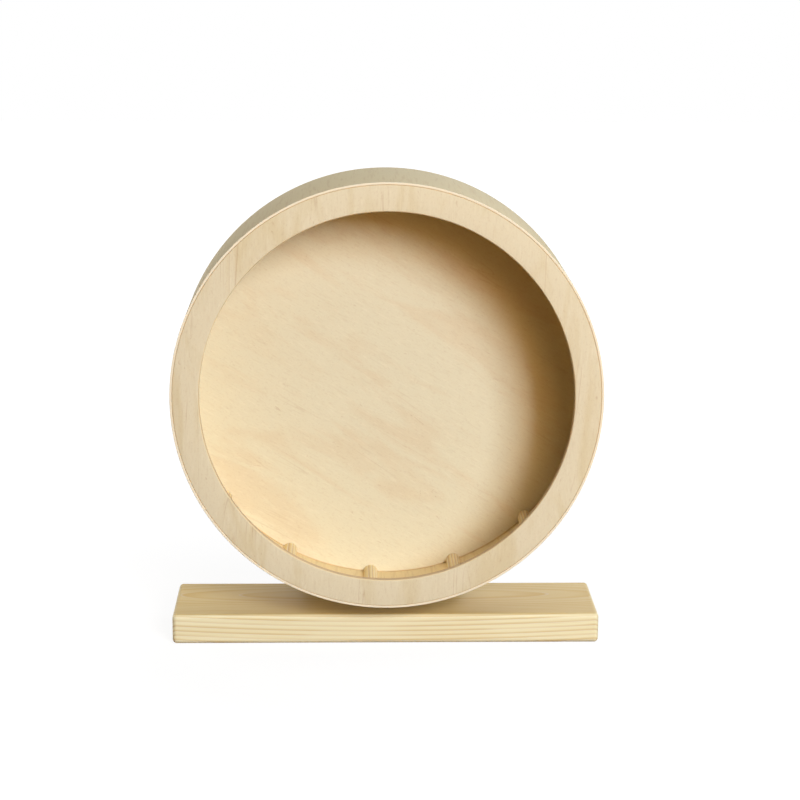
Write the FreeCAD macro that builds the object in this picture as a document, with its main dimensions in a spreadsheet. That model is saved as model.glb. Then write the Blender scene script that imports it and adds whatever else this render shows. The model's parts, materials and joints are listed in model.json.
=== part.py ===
"""Wooden drum wheel for small rodents, carried on one side by a pine stand.

Millimetres. X runs to the right, Y away from the viewer, Z up. The origin is the middle of the base
board's underside. The wheel turns about an axle parallel to Y. Every turned piece is drawn as a
profile whose first coordinate runs along the axle and whose second is the radius.
"""
import FreeCAD, Part

import math
import os

import Sketcher

PARTS_FOLDER = "parts"
FULL_TURN = 360
HALF_TURN = 180
QUARTER_TURN = 90
HEXAGON_SIDES = 6
TOUCHING = 1e-6

# A sketch's numbers for the points of a curve, and for its own two axes.
START_INDEX = 1
END_INDEX = 2
CENTRE_INDEX = 3
LEVEL_AXIS_INDEX = -1
UPRIGHT_AXIS_INDEX = -2

# Driving dimensions: name, value, what it measures. Lengths in millimetres, angles in degrees.
SIZES = (
    ("wheel_diameter", 290.0, "outside of the drum"),
    ("drum_depth", 90.0, "front of the ring to the back of the disc"),
    ("strip_thickness", 1.5, "bent plywood strip"),
    ("strip_seam", 0.4, "gap where the two ends of the strip meet"),
    ("seam_angle", 8.5, "seam below the level of the axle, on the left"),
    ("ring_thickness", 6.0, "plywood of the front ring"),
    ("ring_lip", 19.5, "outside of the drum to the edge of the mouth"),
    ("ring_ease", 1.0, "rounding of the mouth's edges"),
    ("disc_thickness", 8.0, "plywood of the back disc"),
    ("edge_break", 0.4, "sanded edge along the strip and on turned pieces"),
    ("glue_line", 0.1, "room for glue round the ring, disc and rungs"),
    ("rung_width", 10.0, "flat side of the half-round sticks"),
    ("rung_count", 15.0, "sticks round the drum"),
    ("rung_phase", 4.0, "first stick to the left of straight down"),
    ("hub_diameter", 70.0, "block behind the disc"),
    ("hub_floor", 4.5, "wood left under the bolt's head"),
    ("hub_ease", 1.5, "bevel round the hub block"),
    ("hub_screw_count", 4.0, "screws through the hub block"),
    ("hub_screw_margin", 11.0, "middle of a screw to the edge of the hub block"),
    ("hub_screw_diameter", 3.0, "shank"),
    ("hub_screw_head", 6.0, "countersunk head"),
    ("hub_screw_cover", 2.0, "wood left between the screw tips and the inside of the drum"),
    ("axle_diameter", 8.0, "bolt shank and bearing bore"),
    ("bolt_tail", 4.9, "end of the bolt past the nut"),
    ("bolt_head_width", 13.0, "across the flats"),
    ("bolt_head_height", 5.3, "bolt head"),
    ("spacer_wall", 1.6, "rings between the clamped pieces"),
    ("rear_spacer_thickness", 1.0, "ring behind the rear bearing"),
    ("washer_diameter", 16.0, "plain washer under the nut"),
    ("washer_thickness", 1.6, "plain washer under the nut"),
    ("nut_width", 13.0, "across the flats"),
    ("nut_height", 5.5, "hexagon of the nut"),
    ("collar_wall", 0.7, "round collar behind the hexagon"),
    ("collar_height", 2.5, "round collar behind the hexagon"),
    ("insert_wall", 1.0, "nylon ring in the collar"),
    ("insert_height", 1.9, "nylon ring in the collar"),
    ("bevel_angle", 30.0, "turned corners of the bolt head and nut, to their faces"),
    ("bearing_diameter", 22.0, "outer race"),
    ("bearing_width", 7.0, "both races"),
    ("ball_diameter", 3.969, "balls"),
    ("ball_count", 7.0, "balls in each bearing"),
    ("track_depth", 0.53, "how deep a ball sits in each race"),
    ("track_ease", 0.08, "radius of the track's section beyond the ball's"),
    ("ball_play", 0.03, "ball to the bottom of its track"),
    ("shield_thickness", 0.25, "steel shields"),
    ("shield_inset", 0.25, "shield below the face of the bearing"),
    ("shield_seat", 0.9, "shield's hold in the outer race"),
    ("shield_gap", 0.25, "shield to inner race"),
    ("cage_wall", 1.8, "radial thickness of the cage"),
    ("cage_web", 0.35, "closed side of the cage behind the balls"),
    ("cage_lip", 1.0, "open side of the cage, past the middle of the balls"),
    ("cage_play", 0.1, "ball to cage pocket"),
    ("wheel_clearance", 12.0, "base board to the lowest point of the drum"),
    ("base_length", 295.0, "base board, side to side"),
    ("base_depth", 78.0, "base board, front to back"),
    ("base_thickness", 21.0, "base board"),
    ("base_ease", 3.0, "rounding of the base board's edges"),
    ("upright_web", 4.0, "wood between the two bearings"),
    ("upright_foot", 120.0, "width of the upright at the floor"),
    ("upright_head", 84.0, "diameter of the upright's round head"),
    ("upright_ease", 2.0, "rounding of the upright's edges"),
    ("seat_shoulder", 2.5, "ledge of wood that each bearing seats against"),
    ("stand_screw_count", 3.0, "screws through the upright's foot"),
    ("stand_screw_margin", 18.0, "outer screws to the sides of the upright's foot"),
    ("stand_screw_diameter", 4.0, "shank"),
    ("stand_screw_head", 8.0, "countersunk head"),
    ("stand_screw_bite", 32.0, "screw inside the base board"),
    ("screw_tip", 3.0, "pointed end of the wood screws"),
    ("screw_cone", 90.0, "angle of the cone under the heads of the wood screws"),
    ("screw_clearance", 0.1, "screw to hole, all round"),
    ("running_gap", 2.0, "hub block to upright"),
    ("axle_clearance", 0.05, "bolt to bearing bore, and bearing to upright"),
    ("spacer_clearance", 0.2, "bolt to spacers, washer and hub block"),
    ("head_clearance", 0.2, "bolt head to its pocket"),
    ("insert_clearance", 0.1, "nylon ring to its collar"),
)

# Sizes and places that follow from the driving dimensions. Places along Y are row coordinates.
PLACES = (
    ("wheel_radius", "Sizes.wheel_diameter / 2"),
    ("strip_inside", "wheel_radius - Sizes.strip_thickness"),
    ("wood_radius", "strip_inside - Sizes.glue_line"),
    ("mouth_radius", "wheel_radius - Sizes.ring_lip"),
    ("rung_length", "Sizes.drum_depth - Sizes.ring_thickness - Sizes.disc_thickness - 2 * Sizes.glue_line"),
    ("hub_radius", "Sizes.hub_diameter / 2"),
    ("hub_screw_ring", "hub_radius - Sizes.hub_screw_margin"),
    ("hub_pocket", "Sizes.bolt_head_height + Sizes.head_clearance"),
    ("hub_thickness", "Sizes.hub_floor + hub_pocket"),
    ("hub_screw_bite", "Sizes.disc_thickness - Sizes.hub_screw_cover"),
    ("hub_screw_length", "hub_thickness + hub_screw_bite"),
    ("stand_screw_row", "Sizes.upright_foot - 2 * Sizes.stand_screw_margin"),
    ("stand_screw_spacing", "stand_screw_row / (Sizes.stand_screw_count - 1)"),
    ("stand_screw_height", "Sizes.base_thickness / 2"),
    ("upright_thickness", "2 * Sizes.bearing_width + Sizes.upright_web"),
    ("stand_screw_length", "upright_thickness + Sizes.stand_screw_bite"),
    ("axle_height", "Sizes.base_thickness + Sizes.wheel_clearance + wheel_radius"),
    ("upright_front", "Sizes.base_depth / 2"),
    ("upright_back", "upright_front + upright_thickness"),
    ("hub_front", "upright_front - Sizes.running_gap - hub_thickness"),
    ("wheel_front", "hub_front - Sizes.drum_depth"),
    ("disc_front", "hub_front - Sizes.disc_thickness"),
    ("rung_front", "wheel_front + Sizes.ring_thickness + Sizes.glue_line"),
    ("bolt_front", "hub_front + Sizes.head_clearance"),
    ("front_spacer_front", "upright_front - Sizes.running_gap"),
    ("sleeve_front", "upright_front + Sizes.bearing_width"),
    ("rear_bearing_front", "upright_back - Sizes.bearing_width"),
    ("washer_front", "upright_back + Sizes.rear_spacer_thickness"),
    ("nut_front", "washer_front + Sizes.washer_thickness"),
    ("nut_length", "Sizes.nut_height + Sizes.collar_height"),
    ("insert_front", "nut_front + nut_length - Sizes.insert_height"),
    ("bolt_length", "nut_front + nut_length + Sizes.bolt_tail - bolt_front"),
    ("axle_radius", "Sizes.axle_diameter / 2"),
    ("shank_radius", "axle_radius - Sizes.axle_clearance"),
    ("insert_radius", "axle_radius + Sizes.insert_wall"),
    ("insert_seat", "insert_radius + Sizes.insert_clearance"),
    ("collar_radius", "insert_seat + Sizes.collar_wall"),
    ("spacer_bore", "axle_radius + Sizes.spacer_clearance"),
    ("spacer_radius", "spacer_bore + Sizes.spacer_wall"),
    ("bearing_radius", "Sizes.bearing_diameter / 2"),
    ("web_radius", "bearing_radius - Sizes.seat_shoulder"),
    ("bearing_middle", "Sizes.bearing_width / 2"),
    ("pitch_radius", "(axle_radius + bearing_radius) / 2"),
    ("ball_radius", "Sizes.ball_diameter / 2"),
    ("track_radius", "ball_radius + Sizes.track_ease"),
    ("track_shift", "Sizes.track_ease - Sizes.ball_play"),
    ("inner_land", "pitch_radius - ball_radius + Sizes.track_depth"),
    ("outer_land", "pitch_radius + ball_radius - Sizes.track_depth"),
    ("shield_outside", "outer_land + Sizes.shield_seat"),
    ("shield_inside", "inner_land + Sizes.shield_gap"),
    ("shield_depth", "Sizes.shield_inset + Sizes.shield_thickness"),
    ("pocket_radius", "ball_radius + Sizes.cage_play"),
    ("cage_back", "bearing_middle - pocket_radius - Sizes.cage_web"),
    ("cage_front", "bearing_middle + Sizes.cage_lip"),
    ("cage_inside", "pitch_radius - Sizes.cage_wall / 2"),
    ("cage_outside", "pitch_radius + Sizes.cage_wall / 2"),
)

doc = FreeCAD.newDocument("exercise_wheel")
pieces = []


def fill_sheets():
    """Write the driving dimensions and what follows from them to two sheets, with aliases."""
    sizes = doc.addObject("Spreadsheet::Sheet", "Sizes")
    for row, (name, number, meaning) in enumerate(SIZES, start=1):
        sizes.set(f"A{row}", meaning)
        sizes.set(f"B{row}", str(number))
        sizes.setAlias(f"B{row}", name)
    places = doc.addObject("Spreadsheet::Sheet", "Places")
    for row, (name, formula) in enumerate(PLACES, start=1):
        places.set(f"A{row}", name.replace("_", " "))
        places.set(f"B{row}", f"={formula}")
        places.setAlias(f"B{row}", name)
    doc.recompute()
    return places


def value(expression):
    """The number that an expression on the sheets comes to now."""
    return float(sheet.evalExpression(expression))


def count(expression):
    """A whole number from the sheets."""
    return round(value(expression))


def new_body(label):
    """An empty body that will be one piece, or a member of a group."""
    made = doc.addObject("PartDesign::Body", label)
    made.Label = label
    return made


def keep(piece):
    """Put a finished piece on the list of those that are written out."""
    pieces.append(piece)
    return piece


def place(piece, along, up="Places.axle_height", turn="0", across="0"):
    """Tie a piece's place to the sheets: along Y, up Z, across X, and turned about Y."""
    spot = f"vector({across}; {along}; {up})"
    piece.setExpression("Placement", f"placement({spot}; rotation(vector(0; 1; 0); {turn}))")


def origin_feature(body, role):
    """One of the body's own origin planes or axes."""
    return next(feature for feature in body.Origin.OriginFeatures if feature.Role == role)


def new_sketch(body, name, role, offset="0"):
    """A sketch on one of the body's origin planes, moved along the plane's normal by offset."""
    made = body.newObject("Sketcher::SketchObject", f"{body.Label}_{name}")
    made.AttachmentSupport = [(origin_feature(body, role), "")]
    made.MapMode = "FlatFace"
    made.setExpression("AttachmentOffset.Base.z", offset)
    return made


def tie(sketch, kind, *ends):
    """Add one constraint to a sketch and give its number."""
    return sketch.addConstraint(Sketcher.Constraint(kind, *ends))


def pin_point(sketch, geometry, point, across, up):
    """Tie a point of a sketch to two expressions, or to an axis where a coordinate is zero."""
    ways = (("DistanceX", UPRIGHT_AXIS_INDEX, across), ("DistanceY", LEVEL_AXIS_INDEX, up))
    for kind, axis, expression in ways:
        distance = value(expression)
        if abs(distance) < TOUCHING:
            tie(sketch, "PointOnObject", geometry, point, axis)
        else:
            index = tie(sketch, kind, LEVEL_AXIS_INDEX, START_INDEX, geometry, point, distance)
            sketch.setExpression(f"Constraints[{index}]", expression)


def draw_outline(sketch, corners):
    """Draw a closed outline of straight sides through corners, each a pair of expressions."""
    spots = [FreeCAD.Vector(value(across), value(up), 0) for across, up in corners]
    total = len(spots)
    for index, spot in enumerate(spots):
        sketch.addGeometry(Part.LineSegment(spot, spots[(index + 1) % total]), False)
    for index in range(total):
        tie(sketch, "Coincident", index, END_INDEX, (index + 1) % total, START_INDEX)
    for index, (across, up) in enumerate(corners):
        pin_point(sketch, index, START_INDEX, across, up)


def draw_box(sketch, left, right, low, high):
    """Draw a rectangle between four expressions."""
    draw_outline(sketch, ((left, low), (right, low), (right, high), (left, high)))


def draw_circle(sketch, across, up, radius):
    """Draw a circle tied to expressions for its centre and radius."""
    centre = FreeCAD.Vector(value(across), value(up), 0)
    circle = sketch.addGeometry(Part.Circle(centre, FreeCAD.Vector(0, 0, 1), value(radius)), False)
    pin_point(sketch, circle, CENTRE_INDEX, across, up)
    index = tie(sketch, "Radius", circle, value(radius))
    sketch.setExpression(f"Constraints[{index}]", radius)


def draw_hexagon(sketch, width):
    """Draw a regular hexagon about the sketch's origin, by its width across the flats."""
    turns = range(0, FULL_TURN, FULL_TURN // HEXAGON_SIDES)
    reach = f"{width} / sqrt(3)"
    draw_outline(sketch, [(f"{reach} * cos({turn} deg)", f"{reach} * sin({turn} deg)") for turn in turns])


def add_feature(body, kind, name, sketch, length=None, reverse=False):
    """Add a Pad, Pocket, Revolution or Groove of a sketch to a body and bring it up to date."""
    made = body.newObject(f"PartDesign::{kind}", f"{body.Label}_{name}")
    made.Profile = sketch
    if kind in ("Revolution", "Groove"):
        made.ReferenceAxis = (sketch, ["H_Axis"])
        made.setExpression("Angle", length or str(FULL_TURN))
    else:
        made.setExpression("Length", length)
        made.Reversed = reverse
    doc.recompute()
    return made


def add_dress_up(body, kind, name, size, chosen):
    """Add a Fillet or Chamfer of one size to the edges of the body that chosen picks."""
    base = body.Tip
    edges = enumerate(base.Shape.Edges, start=1)
    names = [f"Edge{number}" for number, edge in edges if chosen(edge)]
    made = body.newObject(f"PartDesign::{kind}", f"{body.Label}_{name}")
    made.Base = (base, names)
    made.setExpression("Radius" if kind == "Fillet" else "Size", size)
    doc.recompute()
    return made


def circles_at(radius, along):
    """A test for the round edges of one radius at one place along the axle."""
    return lambda edge: (
        edge.BoundBox.YLength < TOUCHING
        and abs(edge.BoundBox.YMin - value(along)) < TOUCHING
        and abs(edge.Curve.Radius - value(radius)) < TOUCHING
    )


def turned(label, front, back, inside, outside):
    """A body turned from one rectangle: from front to back along the axle, inside to outside radius."""
    body = new_body(label)
    profile = new_sketch(body, "profile", "YZ_Plane")
    draw_box(profile, front, back, inside, outside)
    add_feature(body, "Revolution", "turn", profile)
    return body


def polar_spots(radius, total):
    """Pairs of expressions for points spread evenly on a circle, the first half a step from level."""
    step = FULL_TURN / total
    angles = [step / 2 + step * index for index in range(total)]
    return [(f"{radius} * cos({angle} deg)", f"{radius} * sin({angle} deg)") for angle in angles]


def row_spots(spacing, total, up):
    """Pairs of expressions for points in a row along X, about the middle."""
    return [(f"{spacing} * {index - (total - 1) / 2}", up) for index in range(total)]


def bore_holes(body, name, role, offset, spots, diameter, depth, reverse):
    """Blind or through round holes at spots on a plane of the body."""
    marks = new_sketch(body, f"{name}_marks", role, offset)
    for across, up in spots:
        draw_circle(marks, across, up, f"{diameter} / 2 + Sizes.screw_clearance")
    add_feature(body, "Pocket", name, marks, depth, reverse)


def countersunk_holes(body, name, role, offset, spots, diameter, head):
    """Through holes for countersunk screws, with the heads' cones at the sketch's plane."""
    marks = new_sketch(body, f"{name}_marks", role, offset)
    for across, up in spots:
        draw_circle(marks, across, up, f"{diameter} / 2")
    doc.recompute()
    made = body.newObject("PartDesign::Hole", f"{body.Label}_{name}")
    made.Profile = marks
    doc.recompute()
    made.ThreadType = "None"
    made.DepthType = "ThroughAll"
    made.DrillPoint = "Flat"
    made.HoleCutType = "Countersink"
    made.HoleCutCustomValues = True
    made.Reversed = True
    made.setExpression("HoleCutCountersinkAngle", "Sizes.screw_cone")
    made.setExpression("Diameter", f"{diameter} + 2 * Sizes.screw_clearance")
    made.setExpression("HoleCutDiameter", f"{head} + 2 * Sizes.screw_clearance")
    doc.recompute()


def wood_screw(label, diameter, head, length):
    """A countersunk screw along +Y, its flat head at zero: a cone, a shank and a point."""
    body = new_body(label)
    shank = f"{diameter} / 2"
    rim = f"{head} / 2"
    neck = f"({head} - {diameter}) / 2 / tan(Sizes.screw_cone / 2 * 1 deg)"
    profile = new_sketch(body, "profile", "YZ_Plane")
    corners = (
        ("0", "0"),
        (length, "0"),
        (f"{length} - Sizes.screw_tip", shank),
        (neck, shank),
        ("0", rim),
    )
    draw_outline(profile, corners)
    add_feature(body, "Revolution", "turn", profile)
    return body


def group(label, members):
    """Several separate solids of one kind, kept as one piece."""
    made = doc.addObject("Part::Compound", label)
    made.Label = label
    made.Links = members
    return keep(made)


def make_front_ring():
    """The lip: a plywood ring with a rounded mouth and a sanded edge along the strip."""
    ring = turned("front_ring", "0", "Sizes.ring_thickness", "Places.mouth_radius", "Places.wood_radius")
    mouth = [circles_at("Places.mouth_radius", along) for along in ("0", "Sizes.ring_thickness")]
    add_dress_up(ring, "Fillet", "mouth", "Sizes.ring_ease", lambda edge: any(test(edge) for test in mouth))
    add_dress_up(ring, "Chamfer", "rim", "Sizes.edge_break", circles_at("Places.wood_radius", "0"))
    place(ring, "Places.wheel_front")
    keep(ring)


def make_tread_strip():
    """The bent strip, open by the width of its seam, turned so that the seam is on the left."""
    strip = new_body("tread_strip")
    profile = new_sketch(strip, "profile", "YZ_Plane")
    draw_box(profile, "0", "Sizes.drum_depth", "Places.strip_inside", "Places.wheel_radius")
    seam = f"Sizes.strip_seam / Places.wheel_radius * {HALF_TURN} / pi"
    add_feature(strip, "Revolution", "bend", profile, f"{FULL_TURN} - {seam}")
    place(strip, "Places.wheel_front", turn=f"{seam} / 2 - Sizes.seam_angle - {QUARTER_TURN}")
    keep(strip)


def make_back_disc():
    """The closed back wall, with blind holes for the hub screws from behind."""
    disc = turned("back_disc", "0", "Sizes.disc_thickness", "0", "Places.wood_radius")
    rim = circles_at("Places.wood_radius", "Sizes.disc_thickness")
    add_dress_up(disc, "Chamfer", "rim", "Sizes.edge_break", rim)
    bore_holes(
        disc, "pilots", "XZ_Plane", "-Sizes.disc_thickness", hub_screw_spots(),
        "Sizes.hub_screw_diameter", "Places.hub_screw_bite + Sizes.screw_clearance", True,
    )
    place(disc, "Places.disc_front")
    keep(disc)


def make_rungs():
    """Half-round sticks across the strip, hollowed underneath to its curve, evenly spaced round it."""
    seat = "Places.wood_radius"
    bulge = "Sizes.rung_width / 2"
    total = count("Sizes.rung_count")
    for number in range(total):
        rung = new_body(f"rung_{number + 1:02d}")
        section = new_sketch(rung, "section", "XZ_Plane")
        draw_half_round(section, seat, bulge)
        add_feature(rung, "Pad", "length", section, "Places.rung_length", True)
        place(rung, "Places.rung_front", turn=f"Sizes.rung_phase + {FULL_TURN} * {number} / {total}")
        keep(rung)


def draw_half_round(section, seat, bulge):
    """An arc of the strip's curve at the bottom of the drum, closed by a half circle towards the axle."""
    seat_radius = value(seat)
    bulge_radius = value(bulge)
    half_angle = 2 * math.asin(bulge_radius / (2 * seat_radius))
    down = -math.pi / 2
    normal = FreeCAD.Vector(0, 0, 1)
    low = Part.Circle(FreeCAD.Vector(0, 0, 0), normal, seat_radius)
    top = Part.Circle(FreeCAD.Vector(0, -seat_radius, 0), normal, bulge_radius)
    under = section.addGeometry(Part.ArcOfCircle(low, down - half_angle, down + half_angle), False)
    over = section.addGeometry(Part.ArcOfCircle(top, half_angle / 2, math.pi - half_angle / 2), False)
    tie(section, "Coincident", under, CENTRE_INDEX, LEVEL_AXIS_INDEX, START_INDEX)
    tie(section, "Coincident", under, END_INDEX, over, START_INDEX)
    tie(section, "Coincident", over, END_INDEX, under, START_INDEX)
    pin_point(section, over, CENTRE_INDEX, "0", f"-{seat}")
    for arc, radius in ((under, seat), (over, bulge)):
        index = tie(section, "Radius", arc, value(radius))
        section.setExpression(f"Constraints[{index}]", radius)


def hub_screw_spots():
    """Where the hub screws stand, seen along the axle."""
    return polar_spots("Places.hub_screw_ring", count("Sizes.hub_screw_count"))


def make_hub_block():
    """The block behind the disc, with a hexagon pocket that traps the bolt's head."""
    hub = turned("hub_block", "0", "Places.hub_thickness", "Places.spacer_bore", "Places.hub_radius")
    rim = circles_at("Places.hub_radius", "Places.hub_thickness")
    add_dress_up(hub, "Chamfer", "rim", "Sizes.hub_ease", rim)
    pocket = new_sketch(hub, "head_pocket", "XZ_Plane")
    draw_hexagon(pocket, "(Sizes.bolt_head_width + 2 * Sizes.head_clearance)")
    add_feature(hub, "Pocket", "head", pocket, "Places.hub_pocket")
    countersunk_holes(
        hub, "screw_holes", "XZ_Plane", "-Places.hub_thickness", hub_screw_spots(),
        "Sizes.hub_screw_diameter", "Sizes.hub_screw_head",
    )
    place(hub, "Places.hub_front")
    keep(hub)


def make_hub_screws():
    """Screws from behind, through the hub block into the disc."""
    screws = []
    for number, (across, up) in enumerate(hub_screw_spots(), start=1):
        screw = wood_screw(
            f"hub_screw_{number}", "Sizes.hub_screw_diameter",
            "Sizes.hub_screw_head", "Places.hub_screw_length",
        )
        spot = f"vector({across}; Places.hub_front + Places.hub_thickness; Places.axle_height + {up})"
        screw.setExpression("Placement", f"placement({spot}; rotation(vector(0; 0; 1); {HALF_TURN}))")
        screws.append(screw)
    group("hub_screws", screws)


def bevel_hexagon(body, name, width, end, inward):
    """Turn the corners of a hexagon off to a cone at one end, a little past the corners."""
    low = f"{width} / 2"
    high = f"({width} / sqrt(3) + Sizes.edge_break)"
    run = f"{end} {inward} ({high} - {low}) * tan(Sizes.bevel_angle * 1 deg)"
    profile = new_sketch(body, name, "YZ_Plane")
    draw_outline(profile, ((end, low), (run, high), (end, high)))
    add_feature(body, "Groove", f"{name}_cut", profile)


def make_axle_bolt():
    """Hexagon bolt along the axle, its head towards the disc."""
    bolt = new_body("axle_bolt")
    head = new_sketch(bolt, "hexagon", "XZ_Plane")
    draw_hexagon(head, "Sizes.bolt_head_width")
    add_feature(bolt, "Pad", "head", head, "Sizes.bolt_head_height", True)
    bevel_hexagon(bolt, "bevel", "Sizes.bolt_head_width", "0", "+")
    section = new_sketch(bolt, "shank_section", "XZ_Plane")
    draw_circle(section, "0", "0", "Places.shank_radius")
    add_feature(bolt, "Pad", "shank", section, "Places.bolt_length", True)
    tip = circles_at("Places.shank_radius", "Places.bolt_length")
    add_dress_up(bolt, "Chamfer", "end", "Sizes.edge_break", tip)
    place(bolt, "Places.bolt_front")
    keep(bolt)


def make_clamped_rings():
    """The rings that the bolt clamps between the hub, the inner races and the nut."""
    rings = (
        ("front_spacer", "Places.front_spacer_front", "Sizes.running_gap", "Places.spacer_radius"),
        ("bearing_sleeve", "Places.sleeve_front", "Sizes.upright_web", "Places.spacer_radius"),
        ("rear_spacer", "Places.upright_back", "Sizes.rear_spacer_thickness", "Places.spacer_radius"),
        ("rear_washer", "Places.washer_front", "Sizes.washer_thickness", "Sizes.washer_diameter / 2"),
    )
    for label, along, thickness, outside in rings:
        ring = turned(label, "0", thickness, "Places.spacer_bore", outside)
        place(ring, along)
        keep(ring)


def make_lock_nut():
    """Hexagon nut with a round collar behind it, and the nylon ring that the collar holds."""
    nut = new_body("lock_nut")
    hexagon = new_sketch(nut, "hexagon", "XZ_Plane")
    draw_hexagon(hexagon, "Sizes.nut_width")
    add_feature(nut, "Pad", "flats", hexagon, "Sizes.nut_height", True)
    bevel_hexagon(nut, "front_bevel", "Sizes.nut_width", "0", "+")
    bevel_hexagon(nut, "back_bevel", "Sizes.nut_width", "Sizes.nut_height", "-")
    collar = new_sketch(nut, "collar_section", "XZ_Plane")
    draw_circle(collar, "0", "0", "Places.collar_radius")
    add_feature(nut, "Pad", "collar", collar, "Places.nut_length", True)
    collar_edge = circles_at("Places.collar_radius", "Places.nut_length")
    add_dress_up(nut, "Fillet", "collar_edge", "Sizes.edge_break", collar_edge)
    thread = new_sketch(nut, "thread_section", "XZ_Plane")
    draw_circle(thread, "0", "0", "Places.axle_radius")
    add_feature(nut, "Pocket", "thread", thread, "Places.nut_length")
    seat = new_sketch(nut, "insert_seat_section", "XZ_Plane", "-Places.nut_length")
    draw_circle(seat, "0", "0", "Places.insert_seat")
    add_feature(nut, "Pocket", "insert_seat", seat, "Sizes.insert_height", True)
    place(nut, "Places.nut_front")
    keep(nut)
    insert = turned(
        "lock_nut_insert", "0", "Sizes.insert_height", "Places.axle_radius", "Places.insert_radius"
    )
    place(insert, "Places.insert_front")
    keep(insert)


def cut_track(race, middle):
    """Cut the ball track into a race: a ring of round section about the axle."""
    track = new_sketch(race, "track", "YZ_Plane")
    draw_circle(track, "Places.bearing_middle", middle, "Places.track_radius")
    add_feature(race, "Groove", "track_cut", track)


def make_bearing(end, along):
    """One shielded ball bearing, its front face at along."""
    outer = turned(
        f"{end}_outer_race", "0", "Sizes.bearing_width",
        "Places.outer_land", "Places.bearing_radius - Sizes.axle_clearance",
    )
    cut_track(outer, "Places.pitch_radius - Places.track_shift")
    faces = (
        ("0", "Places.shield_depth"),
        ("Sizes.bearing_width - Places.shield_depth", "Sizes.bearing_width"),
    )
    for number, (front, back) in enumerate(faces, start=1):
        recess = new_sketch(outer, f"recess_{number}", "YZ_Plane")
        draw_box(recess, front, back, "Places.pitch_radius", "Places.shield_outside")
        add_feature(outer, "Groove", f"recess_{number}_cut", recess)
    inner = turned(f"{end}_inner_race", "0", "Sizes.bearing_width", "Places.axle_radius", "Places.inner_land")
    cut_track(inner, "Places.pitch_radius + Places.track_shift")
    for race in (outer, inner):
        place(race, along)
        keep(race)
    make_shields(end, along)
    make_balls(end, along)
    make_cage(end, along)


def make_shields(end, along):
    """The two thin steel rings that close a bearing, pressed into the outer race."""
    depths = ("Sizes.shield_inset", "Sizes.bearing_width - Places.shield_depth")
    shields = []
    for number, depth in enumerate(depths, start=1):
        shield = turned(
            f"{end}_shield_{number}", "0", "Sizes.shield_thickness",
            "Places.shield_inside", "Places.shield_outside",
        )
        place(shield, f"{along} + {depth}")
        shields.append(shield)
    group(f"{end}_shields", shields)


def make_balls(end, along):
    """The balls, evenly spaced on the pitch circle."""
    total = count("Sizes.ball_count")
    balls = []
    for number in range(total):
        angle = f"({FULL_TURN} * {number} / {total})"
        ball = doc.addObject("Part::Sphere", f"{end}_ball_{number + 1}")
        ball.setExpression("Radius", "Places.ball_radius")
        place(
            ball, f"{along} + Places.bearing_middle",
            up=f"Places.axle_height + Places.pitch_radius * cos({angle} * 1 deg)",
            across=f"Places.pitch_radius * sin({angle} * 1 deg)",
        )
        balls.append(ball)
    group(f"{end}_balls", balls)


def make_cage(end, along):
    """The crown that spaces the balls: a ring with a round pocket for each, open on one side."""
    cage = turned(
        f"{end}_cage", "Places.cage_back", "Places.cage_front", "Places.cage_inside", "Places.cage_outside"
    )
    ring = cage.Tip
    pocket = cage.newObject("PartDesign::SubtractiveSphere", f"{end}_cage_pocket")
    pocket.AttachmentSupport = [(origin_feature(cage, "XY_Plane"), "")]
    pocket.MapMode = "FlatFace"
    pocket.setExpression("Radius", "Places.pocket_radius")
    pocket.setExpression("AttachmentOffset.Base.y", "Places.bearing_middle")
    pocket.setExpression("AttachmentOffset.Base.z", "Places.pitch_radius")
    doc.recompute()
    pockets = cage.newObject("PartDesign::PolarPattern", f"{end}_cage_pockets")
    pockets.Originals = [pocket]
    pockets.Axis = (origin_feature(cage, "Y_Axis"), [""])
    pockets.Angle = FULL_TURN
    pockets.setExpression("Occurrences", "Sizes.ball_count")
    cage.Tip = pockets
    doc.recompute()
    if not cage.Shape.Volume < ring.Shape.Volume:
        raise RuntimeError(f"{cage.Label}: the pockets cut nothing")
    place(cage, along)
    keep(cage)


def stand_screw_spots():
    """Where the screws through the upright's foot stand, seen along the axle."""
    total = count("Sizes.stand_screw_count")
    return row_spots("Places.stand_screw_spacing", total, "Places.stand_screw_height")


def make_base_board():
    """The foot: a planed board with all its edges rounded, and blind screw holes in its back edge."""
    board = new_body("base_board")
    outline = new_sketch(board, "outline", "XY_Plane")
    half_length = "Sizes.base_length / 2"
    half_depth = "Sizes.base_depth / 2"
    draw_box(outline, f"-{half_length}", half_length, f"-{half_depth}", half_depth)
    add_feature(board, "Pad", "plank", outline, "Sizes.base_thickness")
    add_dress_up(board, "Fillet", "ease", "Sizes.base_ease", lambda edge: True)
    bore_holes(
        board, "pilots", "XZ_Plane", f"-{half_depth}", stand_screw_spots(),
        "Sizes.stand_screw_diameter", "Sizes.stand_screw_bite + Sizes.screw_clearance", True,
    )
    keep(board)


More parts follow.
